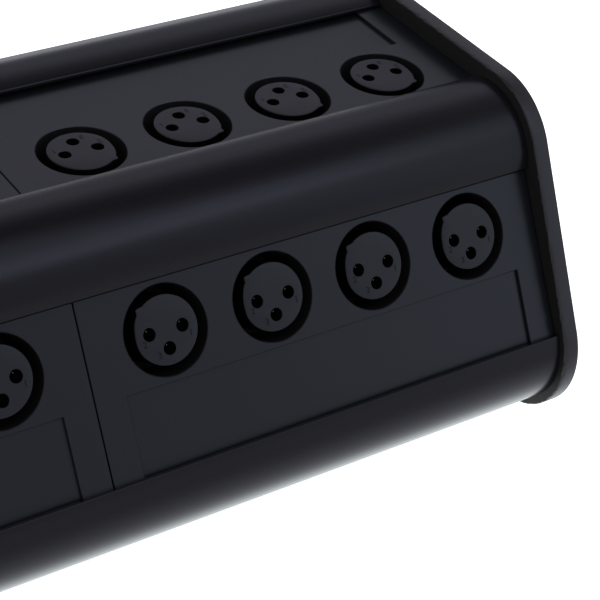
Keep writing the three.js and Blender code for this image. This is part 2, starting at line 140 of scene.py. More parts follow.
def floor_material():
    """Matt white that keeps the shadow, with a plain glow added where the camera looks. A glossy
    ray sees only a painted reflection: a glow whose level follows the steps along Y, with the light
    at the box's foot and the shadow under it painted in."""
    material = bpy.data.materials.new("white_table_top")
    material.use_nodes = True
    tree = material.node_tree
    tree.nodes.clear()
    rays = add(tree, "ShaderNodeLightPath").outputs
    place = add(tree, "ShaderNodeTexCoord")
    split = add(tree, "ShaderNodeSeparateXYZ", {"Vector": place.outputs["Object"]})
    first, last = min(painted_reflection_steps), max(painted_reflection_steps)
    share = span(tree, split.outputs["Y"], (first * mm, last * mm))
    ramp = add(tree, "ShaderNodeValToRGB", {"Fac": share})
    stops = ramp.color_ramp.elements
    while len(stops) < len(painted_reflection_steps):
        stops.new(0.5)
    # The ramp sorts its stops by their places, so all places are set before the levels
    for stop, line in zip(stops, painted_reflection_steps):
        stop.position = (line - first) / (last - first)
    for stop, level in zip(stops, painted_reflection_steps.values()):
        stop.color = (*[level / painted_reflection_peak] * 3, 1)
    painted_reflection_level = ramp.outputs["Color"]
    glow = add(tree, "ShaderNodeEmission", {
        "Color": plain_white, "Strength": times(tree, rays["Is Camera Ray"], floor_glow),
    })
    matt = add(tree, "ShaderNodeBsdfDiffuse", {"Color": linear(floor_white)})
    both = add(tree, "ShaderNodeAddShader", {0: matt.outputs[0], 1: glow.outputs[0]})
    # A glossy ray sees this painted reflection: painted light at the box's foot, painted shadow under it
    mirrored = add(tree, "ShaderNodeEmission", {
        "Color": mix_colours(tree, painted_reflection_level, linear(painted_dim_reflection_colour), linear(painted_bright_reflection_colour)),
        "Strength": times(tree, painted_reflection_level, painted_reflection_peak),
    })
    whole = add(tree, "ShaderNodeMixShader", {
        0: rays["Is Glossy Ray"], 1: both.outputs[0], 2: mirrored.outputs[0],
    })
    add(tree, "ShaderNodeOutputMaterial", {"Surface": whole.outputs[0]})
    return material


half = floor_half_width
corners = [(-half, -half, 0), (half, -half, 0), (half, half, 0), (-half, half, 0)]
floor_mesh = bpy.data.meshes.new("floor")
floor_mesh.from_pydata(corners, [], [(0, 1, 2, 3)])
floor_mesh.materials.append(floor_material())
floor = bpy.data.objects.new("floor", floor_mesh)
bpy.context.scene.collection.objects.link(floor)

# Light
# A soft box high in front, a cool window on the right and a faint box behind, in a pale room with a
# dark ceiling and a far wall that meets the white table. The ridge mirrors the boxes as wide sheens,
# the ceiling as the dark band between them and the table's end as a thin bright line.
world_white = 1.0
world_fill = 0.90
room_colour = "#e3e3ff"
room_front = 0.352
room_back = 0.335
room_depths = (-0.4, 0.4)
room_ceiling = 0.06
ceiling_heights = (0.70, 0.90)
sweep_level = 1.15
sweep_heights = (0.03, 0.16)
sweep_depths = (0.3, 0.7)
soft_boxes = {
    "key_box": {"azimuth": 153, "elevation": 62, "distance": 1.4, "size": (0.86, 1.3), "radiance": 0.64,
                "colour": "#dcdcff"},
    "window_box": {"azimuth": 131, "elevation": 27, "distance": 1.6, "size": (0.9, 1.75), "radiance": 0.28,
                   "colour": "#d0f0ff"},
    "rear_box": {"azimuth": 36, "elevation": 37, "distance": 1.6, "size": (1.2, 0.5), "radiance": 0.155,
                 "colour": "#fff8ff"},
}


def mix_numbers(tree, share, first, second):
    """A number between two others."""
    return add(tree, "ShaderNodeMix", {0: share, 2: first, 3: second}, data_type="FLOAT").outputs[0]


world = bpy.data.worlds.new("studio")
world.use_nodes = True
bpy.context.scene.world = world
tree = world.node_tree
tree.nodes.clear()
rays = add(tree, "ShaderNodeLightPath").outputs
way = add(tree, "ShaderNodeTexCoord")
split = add(tree, "ShaderNodeSeparateXYZ", {"Vector": way.outputs["Generated"]}).outputs
walls = span(tree, split["Y"], room_depths, (room_front, room_back), smooth=True)
above = span(tree, split["Z"], ceiling_heights, smooth=True)
room = mix_numbers(tree, above, walls, room_ceiling)
low = span(tree, split["Z"], sweep_heights, (1, 0), smooth=True)
behind = span(tree, split["Y"], sweep_depths, smooth=True)
sweep = times(tree, low, behind)
mirrored = mix_numbers(tree, sweep, room, sweep_level)
lit = mix_numbers(tree, rays["Is Glossy Ray"], world_fill, mirrored)
seen = mix_numbers(tree, rays["Is Camera Ray"], lit, world_white)
wall_paint = mix_colours(tree, sweep, linear(room_colour), plain_white)
paint = mix_colours(tree, rays["Is Glossy Ray"], plain_white, wall_paint)
sky = add(tree, "ShaderNodeBackground", {"Color": paint, "Strength": seen})
add(tree, "ShaderNodeOutputWorld", {"Surface": sky.outputs[0]})

box_middle = (cad_box[0] + cad_box[1]) / 2
for name, lamp in soft_boxes.items():
    wide, high = lamp["size"]
    light = bpy.data.lights.new(name, "AREA")
    light.shape = "RECTANGLE"
    light.size = wide
    light.size_y = high
    light.color = linear(lamp["colour"])[:3]
    light.energy = lamp["radiance"] * math.pi * wide * high
    azimuth, elevation = math.radians(lamp["azimuth"]), math.radians(lamp["elevation"])
    level = math.cos(elevation)
    away = Vector((math.sin(azimuth) * level, math.cos(azimuth) * level, math.sin(elevation)))
    light_object = bpy.data.objects.new(name, light)
    light_object.location = box_middle + away * lamp["distance"]
    light_object.rotation_euler = away.to_track_quat("Z", "Y").to_euler()
    bpy.context.scene.collection.objects.link(light_object)

# Extrusions
# Two lengths of black anodised aluminium extrusion: the ridge rail, and the base profile with the
# lower edge, floor, back and rear ridge. Thin lips lie over the panels' edges, with slots behind
# them for the panels, and round bosses with a rib take the cheeks' screws.
panel_thickness = 3.0
near_seam = 11.95
far_seam = 30.4
panel_tuck = 1.6
panel_gap = 0.15
lip_gap = 0.2
seat_gap = 0.3
seat_thickness = 1.8
seat_web = 2.2
front_slope = 60
wall = 2.4
ridge_radius = 17.2
ridge_inset = 15.5
ridge_from_seam = 6.0
ridge_swell = 0.65
ridge_lip_round = 0.5
front_lip_round = 0.2
rear_lip_reach = 0.9
corner_radius = 18.0
corner_inset = 17.3
corner_swell = 0.6
corner_lip_round = 0.36
seam_below_corner = 0.85
lower_lip_reach = 0.3
lip_steps = 9
boss_radius = 3.6
boss_rib = 2.2
screw_hole_radius = 2.15
screw_hole_sides = 24
arc_step = 1.5
cut_edge_radius = 0.1
cut_edge_segments = 2
sharp_angle = 35
weld_gap = 0.001
net_margin = 1e-6
noise_middle = (0.3, 0.7)

front_up = np.array([math.cos(math.radians(front_slope)), math.sin(math.radians(front_slope))])
front_out = np.array([-front_up[1], front_up[0]])
near_edge = near_seam + panel_tuck
far_edge = far_seam + panel_tuck


def node_box(name):
    """Lowest and highest corner of a CAD node in millimetres."""
    low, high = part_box(name)
    return np.array(low) / mm, np.array(high) / mm


panel_low, panel_high = node_box("front_panel_left")
front_line = np.array([panel_low[1] + far_edge * front_up[0], panel_high[2] - near_edge * front_up[1]])
panel_low, panel_high = node_box("top_panel_left")
top_line = np.array([panel_low[1] + near_edge, panel_high[2]])


def on_front(u, v):
    """Places on the front face as Y and Z: u up the slope from the socket line, v out of the face."""
    return front_line + np.multiply.outer(u, front_up) + np.multiply.outer(v, front_out)


def on_top(u, v):
    """Places on the top face as Y and Z: u from the socket line to the ridge, v up."""
    return top_line + np.stack([-np.asarray(u, float), np.asarray(v, float)], -1)


front_ridge = on_front(near_seam + ridge_from_seam, -ridge_inset)
front_corner = on_front(-far_seam + seam_below_corner, -corner_inset)
rear_ridge = front_ridge * (-1, 1)
rear_corner = front_corner * (-1, 1)
edge_centres = [front_corner, rear_corner, rear_ridge, front_ridge]


def tangent_angle(centre, radius, next_centre, next_radius):
    """Angle in degrees of the outward normal that two circles share on their outer tangent, where
    the normal times the step between the centres is the difference of the radii."""
    step = next_centre - centre
    lean = math.acos((radius - next_radius) / math.hypot(*step))
    return math.degrees(math.atan2(step[1], step[0]) - lean)


def arc(centre, radius, start, stop):
    """Points at the centre plus the radius times cosine and sine, from one angle to another in
    degrees, in even steps of about arc_step."""
    angles = np.radians(np.linspace(start, stop, max(2, round(abs(stop - start) / arc_step) + 1)))
    return centre + radius * np.stack([np.cos(angles), np.sin(angles)], -1)


def hole(centre, radius, sides):
    """A circle with evenly spaced points, run clockwise as a hole."""
    turns = -2 * math.pi * np.arange(sides) / sides
    return centre + radius * np.stack([np.cos(turns), np.sin(turns)], -1)


def seat(place, seam, side, reach=0.0):
    """Outline of a panel's seat from the lip's underside to the web, in Y and Z."""
    slot_end = seam + panel_tuck + panel_gap
    back = -panel_thickness - panel_gap
    along = [seam - reach, slot_end, slot_end, seam + seat_gap, seam + seat_gap, slot_end + seat_web]
    out = [lip_gap, lip_gap, back, back, back - seat_thickness, back - seat_thickness]
    return place(side * np.array(along), np.array(out))


def wall_with_boss(centre, radius, start, stop, rib_angle):
    """Inner wall run clockwise, which turns in along a rib, round the screw boss and out again."""
    half_rib = boss_rib / 2
    at_wall = math.degrees(math.asin(half_rib / radius))
    at_boss = math.degrees(math.asin(half_rib / boss_radius))
    return np.concatenate([
        arc(centre, radius, start, rib_angle + at_wall),
        arc(centre, boss_radius, rib_angle + at_boss, rib_angle + 360 - at_boss),
        arc(centre, radius, rib_angle - at_wall, stop),
    ])


def lip(centre, radius, to_seam, facing, side, rounding, depth):
    """Where a crown's arc ends, in degrees, and the rounding from there, which touches the arc and
    the lip's end face, or stops at the lip's gap over the panel where that comes first. The arc's
    centre lies at a depth under the panel's face."""
    reach = radius - rounding
    turn = facing + side * math.degrees(math.asin((to_seam - rounding) / reach))
    middle = centre + reach * np.array([math.cos(math.radians(turn)), math.sin(math.radians(turn))])
    height = reach * math.cos(math.radians(turn - facing)) - depth
    stop = 90 - math.degrees(math.asin(max(0, lip_gap - height) / rounding))
    steps = np.radians(np.linspace(turn, facing + stop * side, lip_steps))
    return turn, middle + rounding * np.stack([np.cos(steps), np.sin(steps)], -1)


def tessellated(loops):
    """Triangles that fill an outer loop less its holes, all turned anticlockwise. A Delaunay net
    keeps every side of the loops, and a triangle stays where a line from its middle crosses an odd
    number of sides."""
    flat = np.concatenate(loops)
    here = np.arange(len(flat))
    ends = np.cumsum([len(loop) for loop in loops])[:-1]
    there = np.concatenate([np.roll(part, -1) for part in np.split(here, ends)])
    sides = np.column_stack([here, there]).tolist()
    net = delaunay_2d_cdt([Vector(point) for point in flat.tolist()], sides, [], 0, net_margin)
    triangles = np.array([source[0] for source in net[3]])[np.array(net[2])]
    middle = flat[triangles].mean(1)[:, None]
    start, stop = flat[here], flat[there]
    spans = (start[:, 1] > middle[..., 1]) != (stop[:, 1] > middle[..., 1])
    share = (middle[..., 1] - start[:, 1]) / np.where(stop[:, 1] == start[:, 1], 1, stop[:, 1] - start[:, 1])
    right = middle[..., 0] < start[:, 0] + share * (stop[:, 0] - start[:, 0])
    return triangles[(spans & right).sum(1) % 2 == 1]


def ring_faces(rings, around):
    """Quads between neighbouring closed rings of a grid."""
    here = np.arange(around)
    there = (here + 1) % around
    band = np.stack([here, there, there + around, here + around], -1)
    return (band + np.arange(rings - 1)[:, None, None] * around).reshape(-1, 4)


def banded(loops_of_rings):
    """A body from loops of rings given as (outline, level): walls join each loop's rings, and
    triangles fill the two ends. Outer loops run anticlockwise and holes clockwise."""
    points, faces, firsts, lasts = [], [], [], []
    count = 0
    for rings in loops_of_rings:
        around = len(rings[0][0])
        points += [np.column_stack([outline, np.full(around, float(level))]) for outline, level in rings]
        faces += (ring_faces(len(rings), around) + count).tolist()
        firsts.append(np.arange(around) + count)
        lasts.append(np.arange(around) + count + around * (len(rings) - 1))
        count += around * len(rings)
    first_fill = tessellated([rings[0][0] for rings in loops_of_rings])
    last_fill = tessellated([rings[-1][0] for rings in loops_of_rings])
    faces += np.concatenate(firsts)[first_fill[:, ::-1]].tolist()
    faces += np.concatenate(lasts)[last_fill].tolist()
    return np.concatenate(points), faces


def straight(loops, levels):
    """Rings for loops that keep their outline from the first level to the last."""
    return [[(loop, level) for level in levels] for loop in loops]


def make_piece(name, parts, axes, origin, material, nodes, edge=0.0, angle=sharp_angle):
    """Joins parts given in a local frame in millimetres, puts them in the row's frame by the axes
    and the origin, rounds their edges and lets the piece stand for its CAD nodes."""
    points, faces, count = [], [], 0
    for part_points, part_faces in parts:
        points.append(part_points)
        faces += [[corner + count for corner in face] for face in part_faces]
        count += len(part_points)
    placed = (np.concatenate(points) @ np.asarray(axes, float) + origin) * mm
    mesh = bpy.data.meshes.new(name)
    mesh.from_pydata(placed.tolist(), [], faces)
    mesh.materials.append(material)
    mesh.polygons.foreach_set("use_smooth", np.ones(len(mesh.polygons), bool))
    mesh.set_sharp_from_angle(angle=math.radians(angle))
    mesh.update()
    piece = bpy.data.objects.new(name, mesh)
    bpy.context.scene.collection.objects.link(piece)
    if edge:
        weld = piece.modifiers.new("weld", "WELD")
        weld.merge_threshold = weld_gap * mm
        rounding = piece.modifiers.new("edges", "BEVEL")
        rounding.width = edge * mm
        rounding.segments = cut_edge_segments
        rounding.limit_method = "ANGLE"
        rounding.angle_limit = math.radians(angle)
        rounding.harden_normals = True
    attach(piece, "root")
    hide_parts(*nodes)
    return piece


def surface(name, colour, grain_mm, rough, relief_mm=0, detail=2, stretch=(1, 1, 1), level=0.5, metallic=0):
    """A material with one principled shader. A noise with grains of about grain_mm, drawn out along
    an axis by their stretch, sets its roughness and, where relief_mm is given, its relief."""
    material = bpy.data.materials.new(name)
    material.use_nodes = True
    material.diffuse_color = linear(colour)
    tree = material.node_tree
    tree.nodes.clear()
    place = add(tree, "ShaderNodeTexCoord")
    scale = [1 / (grain_mm * mm * share) for share in stretch]
    turn = add(tree, "ShaderNodeMapping", {"Vector": place.outputs["Object"], "Scale": scale})
    grain = add(tree, "ShaderNodeTexNoise", {
        "Vector": turn.outputs[0], "Scale": 1, "Detail": detail,
    }, name="grain")
    shader = add(tree, "ShaderNodeBsdfPrincipled", {
        "Base Color": linear(colour), "Roughness": span(tree, grain.outputs["Fac"], noise_middle, rough),
        "Metallic": metallic, "Specular IOR Level": level,
    }, name="shader")
    if relief_mm:
        relief = add(tree, "ShaderNodeBump", {
            "Height": grain.outputs["Fac"], "Distance": relief_mm * mm, "Strength": 1,
        })
        tree.links.new(relief.outputs["Normal"], shader.inputs["Normal"])
    add(tree, "ShaderNodeOutputMaterial", {"Surface": shader.outputs[0]})
    return material


# Black anodised extrusion: etched satin, so a soft sheen, with faint lines along the die's way
anodised = surface("black_anodised_aluminium", "#0d0c10", grain_mm=0.35, stretch=(400, 1, 1),
                   rough=(0.22, 0.27), relief_mm=0.006, level=0.42)

# The rail's outline: over the crown from lip to lip, then back round both seats and the boss
web_reach = ridge_from_seam - panel_tuck - panel_gap - seat_web
web_lean = math.degrees(math.asin(web_reach / (ridge_radius - wall)))
ridge_middle = 90 + front_slope / 2
front_angle = 90 + front_slope
crown_radius = ridge_radius + ridge_swell
top_turn, top_lip = lip(front_ridge, crown_radius, ridge_from_seam, 90, -1, ridge_lip_round, ridge_inset)
front_turn, front_lip = lip(front_ridge, crown_radius, ridge_from_seam, front_angle, 1, front_lip_round,
                            ridge_inset)
rail_outline = np.concatenate([
    top_lip[::-1], arc(front_ridge, crown_radius, top_turn, front_turn)[1:-1], front_lip,
    seat(on_front, near_seam, 1),
    wall_with_boss(front_ridge, ridge_radius - wall, front_angle + web_lean, 90 - web_lean, ridge_middle),
    seat(on_top, near_seam, 1)[::-1],
])

# The base profile's outline: from the front lip round the lower edge, floor, back and rear ridge
# to the top lip, then back along the inside
edge_centre = front_corner + (0, corner_swell)
edge_radius = corner_radius + corner_swell
edge_to_seam = lower_lip_reach - seam_below_corner - corner_swell * front_up[1]
edge_inset = corner_inset - corner_swell * front_out[1]
lower_turn, lower_lip = lip(edge_centre, edge_radius, edge_to_seam, front_angle, -1, corner_lip_round,
                            edge_inset)
rear_to_seam = ridge_from_seam + rear_lip_reach
far_turn, far_lip = lip(rear_ridge, crown_radius, rear_to_seam, 90, 1, ridge_lip_round, ridge_inset)
back_angle = tangent_angle(rear_corner, corner_radius, rear_ridge, crown_radius)
lower_web = seam_below_corner + panel_tuck + panel_gap + seat_web
lower_angle = front_angle + math.degrees(math.asin(lower_web / (corner_radius - wall)))
base_outline = np.concatenate([
    lower_lip[::-1], arc(edge_centre, edge_radius, lower_turn, 270)[1:],
    arc(rear_corner, corner_radius, 270, 360 + back_angle),
    arc(rear_ridge, crown_radius, back_angle, far_turn)[:-1], far_lip,
    seat(on_top, far_seam, -1, rear_lip_reach),
    wall_with_boss(rear_ridge, ridge_radius - wall, 90 + web_lean, back_angle, (back_angle + far_turn) / 2),
    wall_with_boss(rear_corner, corner_radius - wall, back_angle, -90, back_angle / 2 - 45),
    wall_with_boss(front_corner, corner_radius - wall, 270, lower_angle, (front_angle + 270) / 2),
    seat(on_front, far_seam, -1, lower_lip_reach)[::-1],
])

profile_low, profile_high = node_box("base_profile")
profile_axes = [(0, 1, 0), (0, 0, 1), (1, 0, 0)]
profiles = {
    "ridge_rail": (rail_outline, [front_ridge]),
    "base_profile": (base_outline, [rear_ridge, rear_corner, front_corner]),
}
for node, (outline, centres) in profiles.items():
    loops = [outline] + [hole(centre, screw_hole_radius, screw_hole_sides) for centre in centres]
    body = banded(straight(loops, (profile_low[0], profile_high[0])))
    make_piece(f"{node}_extrusion", [body], profile_axes, 0, anodised, [node],
               edge=cut_edge_radius)

# End cheeks
# Two plates of black plastic, sawn to an outline round the four edges of the section and proud of
# it all round. The saw leaves the rim dull and paler, and its inner edge a little ragged. The left
# one has the hole for the gland.
cheek_radius = 20.5
cheek_edge_radius = 0.45
cheek_edge_rings = 4
cheek_step = 0.35
cheek_sharp_angle = 40
cheek_rag = 0.26
rag_reach = 0.7
rag_fine, rag_broad = 0.45, 0.25
rag_seeds = {"left": 8, "right": 7}
rim_lean = 0.95
rim_dark, rim_pale = "#0f0a08", "#1b1411"
screw_head_radius = 3.9
screw_head_height = 2.3
screw_radius = 2.0
screw_clearance = 0.15
countersink_sides = 48
gland_thread_radius = 12.3
gland_hole_sides = 96


def round_edges(radius):
    """Outline stretched round the four centres of the section with one radius, anticlockwise."""
    pairs = zip(edge_centres, edge_centres[1:] + edge_centres[:1])
    stops = [tangent_angle(centre, radius, after, radius) for centre, after in pairs]
    starts = stops[-1:] + stops[:-1]
    return np.concatenate([arc(centre, radius, start, start + (stop - start) % 360)
                           for centre, start, stop in zip(edge_centres, starts, stops)])


def evenly(points, gap):
    """The same closed outline with points about a gap apart, by running length."""
    closed = np.concatenate([points, points[:1]])
    run = np.concatenate([[0], np.cumsum(np.hypot(*np.diff(closed, axis=0).T))])
    places = np.arange(0, run[-1], run[-1] / round(run[-1] / gap))
    return np.column_stack([np.interp(places, run, closed[:, 0]), np.interp(places, run, closed[:, 1])])


def outwards(points):
    """Outward normals of an anticlockwise outline: the run from the last point to the next, turned
    a quarter to the right."""
    run = np.roll(points, -1, 0) - np.roll(points, 1, 0)
    run /= np.hypot(*run.T)[:, None]
    return np.column_stack([run[:, 1], -run[:, 0]])


def ragged(count, seed):
    """Small steps of a saw within plus and minus 1: seeded noise averaged over three points, plus
    a little averaged over eleven."""
    noise = np.random.default_rng(seed).normal(size=(2, count))
    fine = sum(np.roll(noise[0], shift) for shift in range(-1, 2))
    broad = sum(np.roll(noise[1], shift) for shift in range(-5, 6))
    return np.clip(fine / fine.std() * rag_fine + broad / broad.std() * rag_broad, -1, 1)


def mark_sides(piece, way, lean):
    """Marks the faces that turn from a direction: the dot product of the two is under lean."""
    facing = np.zeros(len(piece.data.polygons) * 3)
    piece.data.polygons.foreach_get("normal", facing)
    mark = piece.data.attributes.new("side", "FLOAT", "FACE")
    mark.data.foreach_set("value", (abs(facing.reshape(-1, 3) @ way) < lean).astype(float))


def by_side(material, levels, side_colour):
    """Gives the faces that mark_sides marked a gloss and a colour apart: on the cheeks the sawn rim's
    own, on the inserts' side walls and pin holes a painted shade.
    """
    tree = material.node_tree
    shader = tree.nodes["shader"].inputs
    marked = add(tree, "ShaderNodeAttribute", attribute_name="side").outputs["Fac"]
    tree.links.new(span(tree, marked, (0, 1), levels), shader["Specular IOR Level"])
    face_colour = tuple(shader["Base Color"].default_value)
    tree.links.new(mix_colours(tree, marked, face_colour, side_colour), shader["Base Color"])


gland_low, gland_high = node_box("cable_gland_body")
gland_line = ((gland_low + gland_high) / 2)[1:]


def cheek_part(side, thickness):
    """A cheek from its inner face at level 0 to its outer face, with the screws' countersinks."""
    outline = evenly(round_edges(cheek_radius), cheek_step)
    normal = outwards(outline)
    rag = ragged(len(outline), rag_seeds[side])[:, None] * cheek_rag
    radius = cheek_edge_radius
    quarter = np.radians(np.linspace(90, 0, cheek_edge_rings))
    inner = [(outline + normal * np.minimum(0, rag * math.sin(turn) - radius * (1 - math.cos(turn))),
              radius * (1 - math.sin(turn))) for turn in quarter]
    outer = [(outline - normal * radius * (1 - math.cos(turn)), thickness - radius * (1 - math.sin(turn)))
             for turn in quarter[::-1]]
    rings = [inner + [(outline, radius + rag_reach)] + outer]
    sizes = [(screw_radius, 0), (screw_radius, thickness - screw_head_height), (screw_head_radius, thickness)]
    for centre in edge_centres:
        rings.append([(hole(centre, size + screw_clearance, countersink_sides), level)
                      for size, level in sizes])
    if side == "left":
        gland_hole = hole(gland_line, gland_thread_radius + screw_clearance, gland_hole_sides)
        rings += straight([gland_hole], (0, thickness))
    return banded(rings)


# Black plastic sheet: smooth faces with a low gloss, and a rim that the saw has scratched grey
cheek_plastic = surface("black_plastic_plate", "#191918", grain_mm=0.5, detail=4,
                        rough=(0.34, 0.46), relief_mm=0.05)
tree = cheek_plastic.node_tree
scratches = span(tree, tree.nodes["grain"].outputs["Fac"], noise_middle)
rim_paint = mix_colours(tree, scratches, linear(rim_dark), linear(rim_pale))
by_side(cheek_plastic, levels=(0.13, 0.78), side_colour=rim_paint)

for side in ("left", "right"):
    low, high = node_box(f"end_cheek_{side}")
    points, faces = cheek_part(side, high[0] - low[0])
    if side == "left":
        inner_face, outwards_x = high[0], -1
        faces = [face[::-1] for face in faces]
    else:
        inner_face, outwards_x = low[0], 1
    cheek = make_piece(f"cheek_plate_{side}", [(points, faces)], [(0, 1, 0), (0, 0, 1), (outwards_x, 0, 0)],
                       (inner_face, 0, 0), cheek_plastic, [f"end_cheek_{side}"],
                       angle=cheek_sharp_angle)
    mark_sides(cheek, (1, 0, 0), rim_lean)

# Socket panels
# Four moulded panels that slide in between the lips, each with four socket holes and a sunk field
# for a label strip. The top ones are the same part turned half round.
hole_radius = 10.4
hole_chamfer = 0.12
hole_sides = 96
recess_depth = 0.9
recess_end_margin = 7.5
recess_from_sockets = 11.6
panel_sockets = 4
socket_pitch = 27.7
socket_offsets = socket_pitch * (np.arange(panel_sockets) - (panel_sockets - 1) / 2)
panel_chamfer = 0.15
panel_rebate = 0.25
moulding_sharp_angle = 12

# Black ABS, injection moulded against a fine etched tool: an even satin that dulls every reflection
panel_plastic = surface("moulded_panel_abs", "#090c10", grain_mm=0.5, detail=3,
                        rough=(0.28, 0.34), relief_mm=0.006, level=0.67)


def inset(points, distance):
    """An anticlockwise outline moved inwards: each corner goes along the sum of its two sides'
    inward normals, over one plus their dot product."""
    ahead = np.roll(points, -1, 0) - points
    ahead /= np.hypot(*ahead.T)[:, None]
    normal = np.column_stack([-ahead[:, 1], ahead[:, 0]])
    before = np.roll(normal, 1, 0)
    return points + distance * (normal + before) / (1 + (normal * before).sum(1))[:, None]


def panel_parts(length):
    """A panel in the face's frame: the full plate up to the label field's floor, and on it the
    plate less the field, which is open at the far edge, and less the tongue under the ridge's
    lip. Upper edges have a small chamfer."""
    half = length / 2
    field = half - recess_end_margin
    near_face = near_seam - panel_rebate
    full = np.array([(-half, -far_edge), (half, -far_edge), (half, near_edge), (-half, near_edge)])
    raised = np.array([(-half, -far_edge), (-field, -far_edge), (-field, -recess_from_sockets),
                       (field, -recess_from_sockets), (field, -far_edge), (half, -far_edge),
                       (half, near_face), (-half, near_face)])
    centres = [np.array((x, 0.0)) for x in socket_offsets]
    holes = [hole(centre, hole_radius, hole_sides) for centre in centres]
    mouths = [hole(centre, hole_radius + hole_chamfer, hole_sides) for centre in centres]
    lower = straight([full] + holes, (-panel_thickness, -recess_depth))
    upper = [[(raised, -recess_depth), (raised, -panel_chamfer), (inset(raised, panel_chamfer), 0)]]
    upper += [[(bore, -recess_depth), (bore, -hole_chamfer), (mouth, 0)]
              for bore, mouth in zip(holes, mouths)]
    return [banded(lower), banded(upper)]


front_axes = [(1, 0, 0), (0, *front_up), (0, *front_out)]
top_axes = [(-1, 0, 0), (0, -1, 0), (0, 0, 1)]
faces_of_box = {
    "front": {"axes": front_axes, "line": front_line, "sides": ("left", "right")},
    "top": {"axes": top_axes, "line": top_line, "sides": ("right", "left")},
}


def panel_middle(face, side):
    """Length of a panel, and the middle of its socket line in the row's frame."""
    low, high = node_box(f"{face}_panel_{side}")
    return high[0] - low[0], np.array([(low[0] + high[0]) / 2, *faces_of_box[face]["line"]])


for face, facts in faces_of_box.items():
    for side in facts["sides"]:
        length, middle = panel_middle(face, side)
        make_piece(f"{face}_socket_panel_{side}", panel_parts(length), facts["axes"], middle,
                   panel_plastic, [f"{face}_panel_{side}"], angle=moulding_sharp_angle)

# Socket shells
# A black plastic bore behind each hole, which takes the plug's sleeve. A thin black collar lines
# the panel's hole wall, partly as the shell's own front and partly as painted shade on a wall that
# lies in shade. The floor carries the insert.
shell_bore = 10.12
shell_wall = 1.38
shell_length = 13.7
shell_floor = 2.2
shell_rear_opening = 6.6
shell_step = 0.3
shell_edge_radius = 0.05
shell_sides = 96
# The collar: a thin black sheet over the panel's hole wall, partly painted shade
shade_collar_wall = 0.1
shade_collar_play = 0.01
shade_collar_below = 0.1

# Black nylon, moulded: a dull black that gives back almost no light from inside the bore
shell_plastic = surface("black_nylon_shell", "#060607", grain_mm=0.4, rough=(0.55, 0.65))


def turned(profile, sides, closed=False):
    """A body turned about its own Z: the radius of each ring times cosine and sine. Radius and
    level may change with the angle. Open profiles are closed at both ends by a fan to the axis."""
    angles = np.radians(np.arange(sides) * 360 / sides)
    radii, levels = (np.stack([np.broadcast_to(ring[part], sides) for ring in profile]) for part in (0, 1))
    rings = np.stack([radii * np.cos(angles), radii * np.sin(angles), levels], -1)
    count = len(profile)
    points = rings.reshape(-1, 3)
    if closed:
        faces = ring_faces(count + 1, sides) % (count * sides)
        return points, faces.tolist()
    faces = ring_faces(count, sides).tolist()
    here = np.arange(sides)
    there = (here + 1) % sides
    poles = np.array([(0, 0, levels[0].mean()), (0, 0, levels[-1].mean())])
    first, last = count * sides, count * sides + 1
    top = (count - 1) * sides
    faces += np.column_stack([there, here, np.full(sides, first)]).tolist()
    faces += np.column_stack([here + top, there + top, np.full(sides, last)]).tolist()
    return np.concatenate([points, poles]), faces


def socket_places(face):
    """Number and centre of each socket of a face in the row's frame, as the CAD numbers them."""
    facts = faces_of_box[face]
    direction = facts["axes"][0][0]
    for index, side in enumerate(facts["sides"]):
        _, middle = panel_middle(face, side)
        for place, offset in enumerate(socket_offsets):
            yield index * panel_sockets + place + 1, middle + (direction * offset, 0, 0)


shell_outside = shell_bore + shell_wall
shell_front = -panel_thickness - seat_gap
shell_back = shell_front - shell_length
shell_profile = [
    (shell_outside, shell_back), (shell_outside, shell_front),
    (hole_radius - shade_collar_play, shell_front), (hole_radius - shade_collar_play, -shade_collar_below),
    (hole_radius - shade_collar_wall, -shade_collar_below), (hole_radius - shade_collar_wall, shell_front),
    (shell_bore, shell_front - shell_step), (shell_bore, shell_back + shell_floor),
    (shell_rear_opening, shell_back + shell_floor), (shell_rear_opening, shell_back),
]
shell = turned(shell_profile, shell_sides, closed=True)
for face, facts in faces_of_box.items():
    for number, centre in socket_places(face):
        make_piece(f"socket_shell_{face}_{number}", [shell], facts["axes"], centre,
                   shell_plastic, [f"xlr_shell_{face}_{number}"], edge=shell_edge_radius)

# Socket inserts
# A round dark nylon moulding in the middle of each bore, flush with the panel, with a small key at
# its upper left, three holes for the plug's pins, and the pins' numbers in matt black beside them.
insert_radius = 7.92
insert_length = 14.5
insert_step = 3
insert_edge_radius = 0.32
insert_edge_rings = 5
key_rise = 0.72
key_from, key_top, key_to = 125, 134, 141
key_step = 1
flat_middle, flat_half_width = 176, 40
flat_depth = 0.33
pin_circle = 4.15
pin_hole_radius = 1.5
pin_hole_sides = 48
pin_lead_in = 0.1
# Painted shade on the inserts: which faces count as walls, and the black that stands for their shade
shaded_wall_lean = 0.3
painted_wall_shade = "#030303"
number_size = 2.1
number_rise = 0.02
number_weight = 0.03
number_curve_steps = 3
number_places = {"1": (5.8, -2.2), "2": (-5.7, -1.95), "3": (-2.7, -5.2)}

# Dark nylon, moulded: a plain satin face as grey as the panel. Its side walls and pin holes are
# painted shade, black and almost without gloss, where shade falls deep in the sockets
insert_plastic = surface("dark_nylon_insert", "#0c0d10", grain_mm=0.35, detail=3,
                         rough=(0.34, 0.42), relief_mm=0.008)
by_side(insert_plastic, levels=(0.66, 0.1), side_colour=linear(painted_wall_shade))
# Matt black numerals: thin strokes, darker than the face
number_black = surface("black_numerals", "#040405", grain_mm=0.2, rough=(0.55, 0.65), level=0.35)


